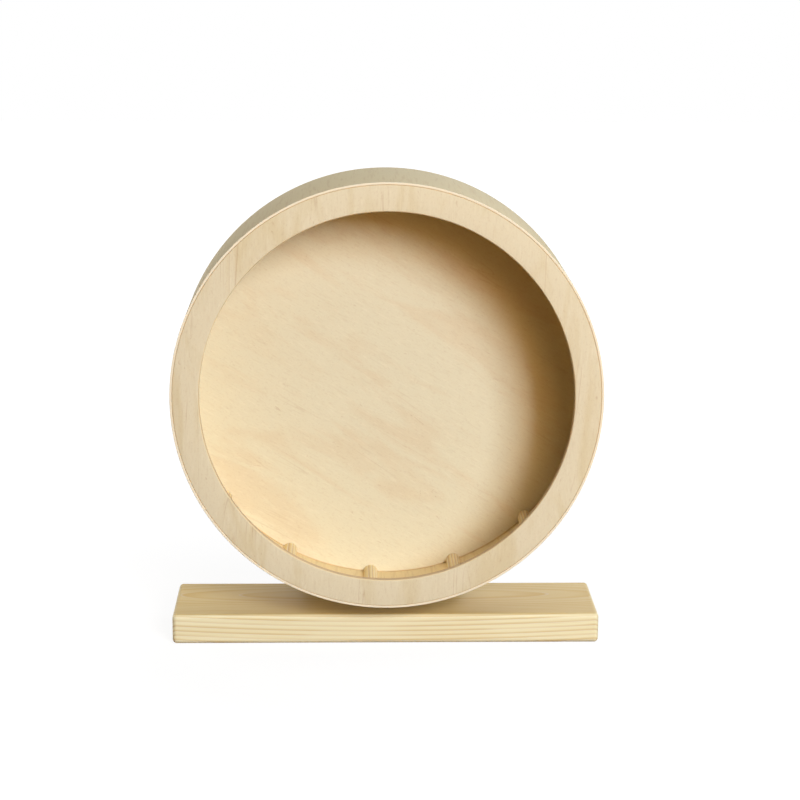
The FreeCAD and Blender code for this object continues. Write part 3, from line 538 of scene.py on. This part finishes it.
def moulded_stick():
    """Half-round pine moulding, untreated: yellowish, with growth lines about 2 mm apart that run along the
    stick and end as bars on its sawn ends. It reads the stick's own coordinates: across, along and up."""
    material, tree, palette = new_material("moulded half-round pine", 0.55, IOR=1.5, Specular_IOR_Level=0.3)
    own = add_node(tree, "Attribute", {}, attribute_name="stick").outputs["Vector"]
    lean = (0, math.radians(28), 0)
    leaning = add_node(tree, "Mapping", {"Vector": own, "Rotation": lean, "Scale": (1, 0.06, 1)})
    lines = add_node(tree, "TexWave", {"Vector": leaning.outputs["Vector"], "Distortion": 2.2, "Detail": 1.0,
                                       "Detail Scale": 0.5, "Scale": WAVE_PERIOD / (2.0 * MM)},
                     bands_direction="X", wave_profile="SAW").outputs["Fac"]
    late = add_node(tree, "ValToRGB", {"Fac": lines}, stops=[
        (0.0, palette.stick_early), (0.35, palette.stick_early), (0.85, palette.stick_late),
        (1.0, palette.stick_early),
    ]).outputs["Color"]
    patches = pattern(tree, own, size=(6, 50, 6), detail=2.0)
    tone = lay(tree, late, palette.stick_early, patches, 0.4, 0.7, most=0.35)
    return dress(material, tone, lines, deep=0.04)


def planed_pine(name, pith, turn, spacing, bow):
    """Planed pine, untreated: yearly growth as nested tubes round the pith, pale early wood that darkens
    into a thin line of late wood, so that a side shows long wavy lines, a face pointed arches and an end
    arcs. What faces up has painted shade: a darker, yellower tone. The tubes' own axes stand at the
    pith, turned so that the first runs along the grain, and the pith bows up by so much per metre squared
    along it, as a stem does that isn't straight."""
    material, tree, palette = new_material(name, 0.5, IOR=1.5, Specular_IOR_Level=0.2)
    place = add_node(tree, "TexCoord", {}).outputs
    own = add_node(tree, "Mapping", {"Vector": place["Object"], "Location": pith, "Rotation": turn},
                   vector_type="TEXTURE")
    part = add_node(tree, "SeparateXYZ", {0: own.outputs["Vector"]}).outputs
    square = add_node(tree, "Math", {0: part["X"], 1: part["X"]}, operation="MULTIPLY").outputs[0]
    bowed = {0: square, 1: -bow, 2: part["Z"]}
    straight = add_node(tree, "Math", bowed, operation="MULTIPLY_ADD").outputs[0]
    # Along the grain everything is drawn out about fifteen times.
    drawn = add_node(tree, "Math", {0: part["X"], 1: 0.07}, operation="MULTIPLY").outputs[0]
    stem = add_node(tree, "CombineXYZ", {"X": drawn, "Y": part["Y"], "Z": straight}).outputs[0]
    years = add_node(tree, "TexWave", {"Vector": stem, "Scale": WAVE_PERIOD / spacing, "Distortion": 5.0,
                                       "Detail": 1.5, "Detail Scale": 0.22, "Detail Roughness": 0.4},
                     wave_type="RINGS", rings_direction="X", wave_profile="SAW").outputs["Fac"]
    tone = add_node(tree, "ValToRGB", {"Fac": years}, stops=[
        (0.0, palette.pine_early), (0.42, palette.pine_early), (0.84, palette.pine_late),
        (0.93, palette.pine_late), (1.0, palette.pine_early),
    ]).outputs["Color"]
    broad = pattern(tree, stem, size=(7, 12, 7), detail=2.0)
    fibres = pattern(tree, stem, size=(2.2, 0.9, 0.9), detail=2.0)
    tone = lay(tree, tone, palette.pine_early, broad, 0.56, 0.40, most=0.5)
    tone = lay(tree, tone, palette.pine_warm, broad, 0.42, 0.68, most=0.25)
    tone = lay(tree, tone, palette.pine_late, fibres, 0.5, 0.75, most=0.22)
    # Painted shade: faces that look up get a darker, yellower tone.
    shade_facing = add_node(tree, "SeparateXYZ", {0: place["Normal"]}).outputs
    tone = lay(tree, tone, palette.pine_top_shade, shade_facing["Z"], 0.6, 1.0, most=0.6)
    return dress(material, tone, fibres, deep=0.05)


def zinc_plated_steel():
    """Cold-headed steel, zinc plated and passivated: a bright, slightly blue grey whose fine crystals dull
    it in patches about a millimetre wide. It is made once for all the fasteners."""
    name = "zinc-plated steel"
    if name in bpy.data.materials:
        return bpy.data.materials[name]
    material, tree, palette = new_material(name, 0.3, Metallic=1.0)
    here = add_node(tree, "TexCoord", {}).outputs["Object"]
    crystals = pattern(tree, here, size=(1.1, 1.1, 1.1), detail=4.0)
    stain = pattern(tree, here, size=(6, 6, 6), detail=2.0)
    tone = lay(tree, palette.zinc, palette.zinc_stain, stain, 0.45, 0.75, most=0.35)
    dull = add_node(tree, "MapRange", {"Value": crystals, "To Min": 0.22, "To Max": 0.42}).outputs["Result"]
    tree.links.new(dull, tree.nodes["Principled BSDF"].inputs["Roughness"])
    return dress(material, tone, crystals, deep=0.01)


def ringed_steel(name, shade, roughness, spacing, deep):
    """Steel finished on a spinning machine: fine rings round the axle, so that a highlight fans out from the
    middle. They are a tenth of the drawn spacing on the real piece, and are drawn coarser to show."""
    material, tree, palette = new_material(name, roughness, Metallic=1.0)
    here = add_node(tree, "TexCoord", {}).outputs["Object"]
    centred = add_node(tree, "Mapping", {"Vector": here, "Location": (0, 0, AXLE_HEIGHT)},
                       vector_type="TEXTURE")
    rings = add_node(tree, "TexWave", {"Vector": centred.outputs["Vector"], "Scale": WAVE_PERIOD / spacing,
                                       "Distortion": 1.5, "Detail": 2.0},
                     wave_type="RINGS", rings_direction="Y").outputs["Fac"]
    film = pattern(tree, here, size=(4, 4, 4), detail=3.0)
    tone = lay(tree, shade, palette.oil_film, film, 0.4, 0.75, most=0.25)
    return dress(material, tone, rings, deep)


def moulded_nylon():
    """Injection-moulded natural nylon: milky ivory, faintly cloudy, with a soft gloss. It is made once for
    the cages and the nut's ring."""
    name = "moulded natural nylon"
    if name in bpy.data.materials:
        return bpy.data.materials[name]
    material, tree, palette = new_material(name, 0.42, IOR=1.53, Subsurface_Weight=0.15)
    here = add_node(tree, "TexCoord", {}).outputs["Object"]
    cloud = pattern(tree, here, size=(2.5, 2.5, 2.5), detail=2.0)
    tone = lay(tree, palette.nylon, palette.nylon_cloud, cloud, 0.4, 0.7, most=0.4)
    return dress(material, tone, cloud, deep=0.01)


def seen_rays(tree):
    """1 for rays that show a backdrop to the eye: camera rays, and those that mirrors and glass send on."""
    path = add_node(tree, "LightPath", {}).outputs
    seen = path["Is Camera Ray"]
    for kind in ("Is Glossy Ray", "Is Transmission Ray"):
        seen = add_node(tree, "Math", {0: seen, 1: path[kind]}, operation="MAXIMUM").outputs[0]
    return seen


def studio_paper():
    """Matt studio paper, washed out to white where it is seen, which keeps a faint shadow of the object."""
    palette = bpy.context.scene.wheel_colours
    material = bpy.data.materials.new("studio paper")
    material.use_nodes = True
    tree = material.node_tree
    tree.nodes.remove(tree.nodes["Principled BSDF"])
    seen = seen_rays(tree)
    shade = lay(tree, palette.paper, palette.paper_shadow, seen, 0.0, 1.0)
    matt = add_node(tree, "BsdfDiffuse", {"Color": shade}).outputs[0]
    here = add_node(tree, "TexCoord", {}).outputs["Object"]
    away = add_node(tree, "VectorMath", {0: here}, operation="LENGTH").outputs["Value"]
    wash = add_node(tree, "MapRange", {"Value": away, "From Min": 0.18, "From Max": 0.5, "To Min": 0.90,
                                       "To Max": 1.0})
    strength = add_node(tree, "Math", {0: seen, 1: wash.outputs["Result"]}, operation="MULTIPLY").outputs[0]
    glow = add_node(tree, "Emission", {"Color": linear("#ffffff"), "Strength": strength}).outputs[0]
    both = add_node(tree, "AddShader", {0: matt, 1: glow}).outputs[0]
    tree.links.new(both, tree.nodes["Material Output"].inputs["Surface"])
    return material


# Pieces


def drive_screws(name, node, places, head, shank, pitch, plain, first_turn, next_turn):
    """Sets wood screws at places, each an x and a z, as deep as their construction node. The first screw's
    recess stands at the first turn, and each of the others is turned on by the next."""
    low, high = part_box(node)
    grids = []
    for number, (x, z) in enumerate(places):
        screw = wood_screw(high.y - low.y, head, shank, pitch, plain, first_turn + next_turn * number)
        grids.append(screw + (x, high.y, z))
    fit(skin(name, grids), zinc_plated_steel(), node)


class WHEEL_OT_stand(bpy.types.Operator):
    """Finish the pine base board and the pine upright behind the drum"""

    bl_idname = "exercise_wheel.stand"
    bl_label = "Stand"

    def execute(self, context):
        board = planed_pine("planed pine board", pith=(0.0, 0.010, 0.060), turn=(0, 0, 0),
                            spacing=2.3 * MM, bow=0.2)
        post = planed_pine("planed pine post", pith=(0.03, 0.09, 0.10), turn=(0, -QUARTER, 0),
                           spacing=3.2 * MM, bow=-0.1)
        finish_nodes(board, "base_board")
        finish_nodes(post, "upright")
        return {"FINISHED"}


class WHEEL_OT_front_ring(bpy.types.Operator):
    """Turn the sanded plywood ring round the drum's mouth"""

    bl_idname = "exercise_wheel.front_ring"
    bl_label = "Front Ring"

    def execute(self, context):
        size, palette = context.scene.wheel_sizes, context.scene.wheel_colours
        mouth = size.mouth_radius
        corners = rectangle(mouth, RING_RADIUS, RING_LOW.y, RING_HIGH.y)
        easings = [size.lip_easing, size.glue_groove, size.panel_easing, size.lip_easing]
        ring = skin("mouth_ring", [turned_section(corners, easings, ROUND_SIDES)], looped=True)
        material = sanded_plywood("sanded birch plywood ring", palette.ring_pale, palette.ring_warm,
                                  lean=math.radians(1.5), cut=100 * MM, figure=0.3, rim=RING_RADIUS,
                                  ply=1.2 * MM, mouth=mouth, glue=0.5 * MM)
        fit(ring, material, "front_ring")
        return {"FINISHED"}


class WHEEL_OT_tread_strip(bpy.types.Operator):
    """Bend the thin plywood strip round the drum, with its butt seam"""

    bl_idname = "exercise_wheel.tread_strip"
    bl_label = "Tread Strip"

    def execute(self, context):
        size = context.scene.wheel_sizes
        inner, front, back = STRIP_RADIUS - size.strip_thickness, STRIP_LOW.y, STRIP_HIGH.y
        easing = size.strip_thickness / 5
        radius, depth = eased(rectangle(inner, STRIP_RADIUS, front, back), easing).T
        # The section goes round the axle from one side of the seam to the other: x = -r sin t, y = depth,
        # z = axle height - r cos t, with the turn t from the bottom. The way along the bend is r t outside.
        half_gap = size.seam_gap / STRIP_RADIUS / 2
        turn = size.seam_turn + np.linspace(half_gap, TAU - half_gap, ROUND_SIDES + 1)[:, None]
        x, z = -radius * np.sin(turn), AXLE_HEIGHT - radius * np.cos(turn)
        grid = np.stack(np.broadcast_arrays(x, depth, z), axis=-1)
        bend = np.stack(np.broadcast_arrays(STRIP_RADIUS * turn, depth, radius), axis=-1)
        edge = (depth < front + easing) | (depth > back - easing)
        sawn = np.broadcast_to(edge, grid.shape[:2]).astype(float)
        inside = np.broadcast_to(radius < inner + easing, grid.shape[:2]).astype(float)
        strip = skin("bent_strip", [grid], fields={"bend": [bend], "sawn": [sawn], "inside": [inside]})
        fit(strip, bent_plywood(), "tread_strip")
        return {"FINISHED"}


class WHEEL_OT_back_disc(bpy.types.Operator):
    """Turn the plywood disc that closes the back of the drum"""

    bl_idname = "exercise_wheel.back_disc"
    bl_label = "Back Disc"

    def execute(self, context):
        size, palette = context.scene.wheel_sizes, context.scene.wheel_colours
        # The section starts a little out from the axle, and a flat face closes each end of it.
        core = DISC_RADIUS / 20
        corners = rectangle(core, DISC_RADIUS, DISC_LOW.y, DISC_HIGH.y)
        easings = [0, size.panel_easing, size.panel_easing, 0]
        disc = skin("back_panel", [turned_section(corners, easings, ROUND_SIDES)])
        material = sanded_plywood("sanded birch plywood disc", palette.disc_pale, palette.disc_warm,
                                  lean=math.radians(120), cut=50 * MM, figure=0.14, rim=DISC_RADIUS,
                                  # Its line of glue at the rim is both glue and painted shade where the disc
                                  # meets the strip.
                                  ply=1.6 * MM, glue=1.0 * MM)
        fit(disc, material, "back_disc")
        return {"FINISHED"}


class WHEEL_OT_rungs(bpy.types.Operator):
    """Set the half-round sticks across the inside of the strip"""

    bl_idname = "exercise_wheel.rungs"
    bl_label = "Rungs"

    def execute(self, context):
        size = context.scene.wheel_sizes
        material = moulded_stick()
        seat, ease = DISC_RADIUS, size.stick_easing
        bulge_points, flat_points = 25, 7
        next_across, next_along = 31 * MM, 400 * MM
        # The section is a half circle, across = r cos b and up = r sin b. Its flat side is rounded to fit
        # the strip: it lies on the circle of the drum's inside. Both ends draw in a little to ease them.
        bulge = np.linspace(0, math.pi, bulge_points)
        flat = np.linspace(-1, 1, flat_points + 2)[1:-1]
        across = np.concatenate([np.cos(bulge), flat]) * size.stick_radius
        up = np.concatenate([np.sin(bulge) * size.stick_radius, np.zeros(flat_points)])
        up = np.where(up > 0, up, 0) + seat - np.sqrt(seat ** 2 - np.where(up > 0, 0, across) ** 2)
        inset = np.array([ease, ease / 4, 0, 0, ease / 4, ease])[:, None]
        wide = across * (1 - inset / size.stick_radius)
        tall = up * (1 - inset / size.stick_radius)
        radius = seat - tall
        for number, node in enumerate(RUNGS):
            low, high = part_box(node)
            along = np.array([0, ease / 4, ease, -ease, -ease / 4, 0])[:, None]
            along = along + np.array([low.y] * 3 + [high.y] * 3)[:, None]
            turn = size.stick_turn + TAU * number / len(RUNGS)
            x = -radius * np.sin(turn) - wide * np.cos(turn)
            z = AXLE_HEIGHT - radius * np.cos(turn) + wide * np.sin(turn)
            grid = np.stack(np.broadcast_arrays(x, along, z), axis=-1)
            # Each stick is cut from the next stretch of wood.
            stretch = (wide + number * next_across, along + number * next_along, tall)
            own = np.stack(np.broadcast_arrays(*stretch), axis=-1)
            stick = skin(f"half_round_{number + 1:02d}", [grid], fields={"stick": [own]})
            fit(stick, material, node)
        return {"FINISHED"}


class WHEEL_OT_hub(bpy.types.Operator):
    """Finish the plywood hub behind the disc and drive its screws"""

    bl_idname = "exercise_wheel.hub"
    bl_label = "Hub"

    def execute(self, context):
        size, palette = context.scene.wheel_sizes, context.scene.wheel_colours
        material = sanded_plywood("sanded birch plywood hub", palette.hub_pale, palette.hub_warm,
                                  lean=math.radians(70), cut=0.0, figure=0.4, rim=HUB_RADIUS, ply=1.4 * MM)
        finish_nodes(material, "hub_block")
        turns = [QUARTER * (number + 0.5) for number in range(HUB_SCREWS)]
        ring = size.hub_screw_ring
        places = [(ring * np.sin(turn), AXLE_HEIGHT + ring * np.cos(turn)) for turn in turns]
        drive_screws("hub_wood_screws", "hub_screws", places, size.hub_screw_head, size.hub_screw_shank,
                     pitch=1.3 * MM, plain=3.0 * MM, first_turn=0.4, next_turn=1.1)
        return {"FINISHED"}


class WHEEL_OT_stand_screws(bpy.types.Operator):
    """Drive the long screws through the upright's foot into the back edge of the base board"""

    bl_idname = "exercise_wheel.stand_screws"
    bl_label = "Stand Screws"

    def execute(self, context):
        size = context.scene.wheel_sizes
        low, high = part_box("upright_screws")
        steps = [number - (STAND_SCREWS - 1) / 2 for number in range(STAND_SCREWS)]
        places = [(step * size.stand_screw_step, (low.z + high.z) / 2) for step in steps]
        drive_screws("stand_wood_screws", "upright_screws", places, size.stand_screw_head,
                     size.stand_screw_shank, pitch=1.9 * MM, plain=16.0 * MM, first_turn=0.9, next_turn=1.3)
        return {"FINISHED"}


class WHEEL_OT_axle(bpy.types.Operator):
    """Cut the axle bolt's thread and stack the rings, washer and lock nut on it"""

    bl_idname = "exercise_wheel.axle"
    bl_label = "Axle"

    def execute(self, context):
        size = context.scene.wheel_sizes
        zinc = zinc_plated_steel()
        turn = np.linspace(0, TAU, SMALL_SIDES, endpoint=False)
        sides = hexagon(turn, size.hexagon_flats)
        # A hexagon's bevelled ends go from a round face to just past its corners, at 30 degrees.
        face, beyond = size.hexagon_flats * 0.47, size.hexagon_flats * 0.585
        bevel = (beyond - face) * math.tan(math.radians(30))
        bevel_steps, lead_steps, steps_a_pitch = 8, 6, 10
        # The bolt: a turned outline, cut by a hexagon where it is wider, less a helical thread at its tail.
        front, tail, under = BOLT_LOW.y, BOLT_HIGH.y, BOLT_LOW.y + size.bolt_head
        shank, start, lead, core = size.bolt_radius, tail - size.thread_start, 0.7 * MM, 0.1 * face
        thread_steps = int(size.thread_start / size.thread_pitch * steps_a_pitch)
        outline = stepped([
            (core, front), (face, front), (beyond, front + bevel), (beyond, under), (shank, under),
            (shank, start), (shank, tail - lead), (shank - lead, tail), (core, tail),
        ], [1, bevel_steps, 1, 1, 1, thread_steps, lead_steps, 1])
        radius, depth = outline[:, :1], outline[:, 1:]
        groove = np.abs((depth / size.thread_pitch - turn / TAU) % 1 - 0.5) * 2
        cut = np.clip((depth - start) / size.thread_pitch, 0, 1) * np.clip((tail - depth) / lead, 0, 1)
        bolt = turned(np.minimum(radius, sides) - size.thread_depth * groove * cut, depth, SMALL_SIDES)
        fit(skin("hexagon_bolt", [bolt]), zinc, "axle_bolt")
        # The lock nut: the same cut on a closed section, with a rolled collar that holds the nylon ring.
        front, back, bore = NUT_LOW.y, NUT_HIGH.y, size.nut_bore
        shoulder, seat, collar = front + size.nut_hexagon, size.insert_radius, size.nut_collar
        roll = (collar - seat) * 0.6
        outline = stepped([
            (bore, front + roll), (bore + roll, front), (face, front), (beyond, front + bevel),
            (beyond, shoulder - bevel), (face, shoulder), (collar + roll, shoulder),
            (collar, shoulder + roll), (collar, back - 2 * roll), (collar - 0.3 * roll, back - 0.6 * roll),
            (collar - roll, back), (seat, back - 0.4 * roll), (seat, back - size.insert_depth),
            (bore, back - size.insert_depth),
        ], [1, 1, bevel_steps, 1, bevel_steps, 1, 1, 1, 1, 1, 1, 1, 1])
        nut = turned(np.minimum(outline[:, :1], sides), outline[:, 1:], SMALL_SIDES)
        fit(skin("hexagon_lock_nut", [nut], looped=True), zinc, "lock_nut")
        # The rings and the washer: a rectangle from the bore to the node's radius, carried round the axle.
        ring_easing = 0.2 * MM
        for node, name in (("front_spacer", "front_spacing_ring"), ("rear_spacer", "rear_spacing_ring"),
                           ("rear_washer", "plain_washer")):
            low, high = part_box(node)
            corners = rectangle(size.ring_bore, high.x, low.y, high.y)
            ring = turned_section(corners, ring_easing, SMALL_SIDES)
            fit(skin(name, [ring], looped=True), zinc, node)
        finish_nodes(zinc, "bearing_sleeve")
        finish_nodes(moulded_nylon(), "lock_nut_insert")
        return {"FINISHED"}


class WHEEL_OT_bearings(bpy.types.Operator):
    """Finish the two shielded ball bearings"""

    bl_idname = "exercise_wheel.bearings"
    bl_label = "Bearings"

    def execute(self, context):
        palette = context.scene.wheel_colours
        ground = ringed_steel("ground bearing steel", palette.race_steel, roughness=0.18,
                              spacing=0.5 * MM, deep=0.004)
        pressed = ringed_steel("pressed shield steel", palette.shield_steel, roughness=0.34,
                               spacing=0.8 * MM, deep=0.01)
        nylon = moulded_nylon()
        for bearing in BEARINGS:
            finish_nodes(ground, f"{bearing}_outer_race", f"{bearing}_inner_race", f"{bearing}_balls")
            finish_nodes(pressed, f"{bearing}_shields")
            finish_nodes(nylon, f"{bearing}_cage")
        return {"FINISHED"}


class WHEEL_OT_stage(bpy.types.Operator):
    """Lay the studio paper and set the lamps and the camera"""

    bl_idname = "exercise_wheel.stage"
    bl_label = "Stage"

    def execute(self, context):
        scene, studio = context.scene, context.scene.wheel_studio
        scene.view_settings.view_transform = "Standard"
        self.paper(scene)
        self.surroundings(scene, studio)
        middle = (0, RING_LOW.y, AXLE_HEIGHT)
        for name in SOFTBOXES:
            self.softbox(scene, middle, studio, name)
        self.camera(scene, studio, middle)
        return {"FINISHED"}

    def paper(self, scene):
        """A square of paper just under the base board."""
        half, height = PAPER_HALF, FLOOR_HEIGHT - PAPER_GAP
        mesh = bpy.data.meshes.new("studio_paper")
        square = ((-half, -half), (half, -half), (half, half), (-half, half))
        mesh.from_pydata([(x, y, height) for x, y in square], [], [(0, 1, 2, 3)])
        mesh.materials.append(studio_paper())
        floor = bpy.data.objects.new("studio_paper", mesh)
        scene.collection.objects.link(floor)

    def surroundings(self, scene, studio):
        """A white room to the eye, which gives the object only a little light of its own."""
        scene.world = bpy.data.worlds.new("white studio")
        scene.world.use_nodes = True
        tree = scene.world.node_tree
        dim = tree.nodes["Background"]
        dim.inputs["Color"].default_value = scene.wheel_colours.room
        dim.inputs["Strength"].default_value = studio.ambient
        white = add_node(tree, "Background", {"Color": linear("#ffffff"), "Strength": 1.0}).outputs[0]
        both = add_node(tree, "MixShader", {0: seen_rays(tree), 1: dim.outputs[0], 2: white}).outputs[0]
        tree.links.new(both, tree.nodes["World Output"].inputs["Surface"])

    def softbox(self, scene, aim, studio, name):
        """A square lamp that faces the aim from so far away, turned right of the front and up from level."""
        settings = ("power", "colour", "away", "side", "right", "up")
        watts, tint, away, side, right, up = (getattr(studio, f"{name}_{setting}") for setting in settings)
        lamp = bpy.data.objects.new(f"{name}_softbox", bpy.data.lights.new(f"{name}_softbox", "AREA"))
        lamp.data.energy = watts
        lamp.data.color = tint[:3]
        lamp.data.size = side
        turn = Matrix.Rotation(right, 4, "Z") @ Matrix.Rotation(QUARTER - up, 4, "X")
        lamp.matrix_world = Matrix.Translation(aim) @ turn @ Matrix.Translation((0, 0, away))
        scene.collection.objects.link(lamp)

    def camera(self, scene, studio, aim):
        """The camera stands away from the aim, turned to the side, raised and leant, and is then shifted in
        its own plane."""
        camera = bpy.data.objects.new("camera", bpy.data.cameras.new("camera"))
        camera.data.lens = studio.lens
        seen = Matrix.Rotation(studio.roll, 4, "Y") @ Matrix.Rotation(studio.height_turn, 4, "X")
        seen = seen @ Matrix.Rotation(studio.side_turn, 4, "Z")
        back = Matrix.Translation((studio.shift_right, -studio.distance, studio.shift_down))
        upright = Matrix.Rotation(QUARTER, 4, "X")
        camera.matrix_world = Matrix.Translation(aim) @ seen.inverted() @ back @ upright
        scene.collection.objects.link(camera)
        scene.camera = camera


class WHEEL_PT_pieces(bpy.types.Panel):
    """Lists the pieces and their settings"""

    bl_idname = "WHEEL_PT_pieces"
    bl_label = "Exercise Wheel"
    bl_space_type = "VIEW_3D"
    bl_region_type = "UI"
    bl_category = "Exercise Wheel"

    def draw(self, context):
        for piece in OPERATORS:
            self.layout.operator(piece.bl_idname)
        for label in SETTINGS:
            settings = getattr(context.scene, label)
            column = self.layout.column()
            for key in settings.bl_rna.properties.keys():
                if key not in ("rna_type", "name"):
                    column.prop(settings, key)


SETTINGS = {"wheel_sizes": WheelSizes, "wheel_colours": WheelColours, "wheel_studio": WheelStudio}
OPERATORS = (
    WHEEL_OT_stand, WHEEL_OT_front_ring, WHEEL_OT_tread_strip, WHEEL_OT_back_disc, WHEEL_OT_rungs,
    WHEEL_OT_hub, WHEEL_OT_stand_screws, WHEEL_OT_axle, WHEEL_OT_bearings, WHEEL_OT_stage,
)


def register():
    for kind in (*SETTINGS.values(), *OPERATORS, WHEEL_PT_pieces):
        bpy.utils.register_class(kind)
    for label, kind in SETTINGS.items():
        setattr(bpy.types.Scene, label, PointerProperty(type=kind))


def unregister():
    for label in SETTINGS:
        delattr(bpy.types.Scene, label)
    for kind in (WHEEL_PT_pieces, *reversed(OPERATORS), *SETTINGS.values()):
        bpy.utils.unregister_class(kind)


def main():
    register()
    bpy.ops.exercise_wheel.stand()
    bpy.ops.exercise_wheel.front_ring()
    bpy.ops.exercise_wheel.tread_strip()
    bpy.ops.exercise_wheel.back_disc()
    bpy.ops.exercise_wheel.rungs()
    bpy.ops.exercise_wheel.hub()
    bpy.ops.exercise_wheel.stand_screws()
    bpy.ops.exercise_wheel.axle()
    bpy.ops.exercise_wheel.bearings()
    bpy.ops.exercise_wheel.stage()


if __name__ == "__main__":
    main()
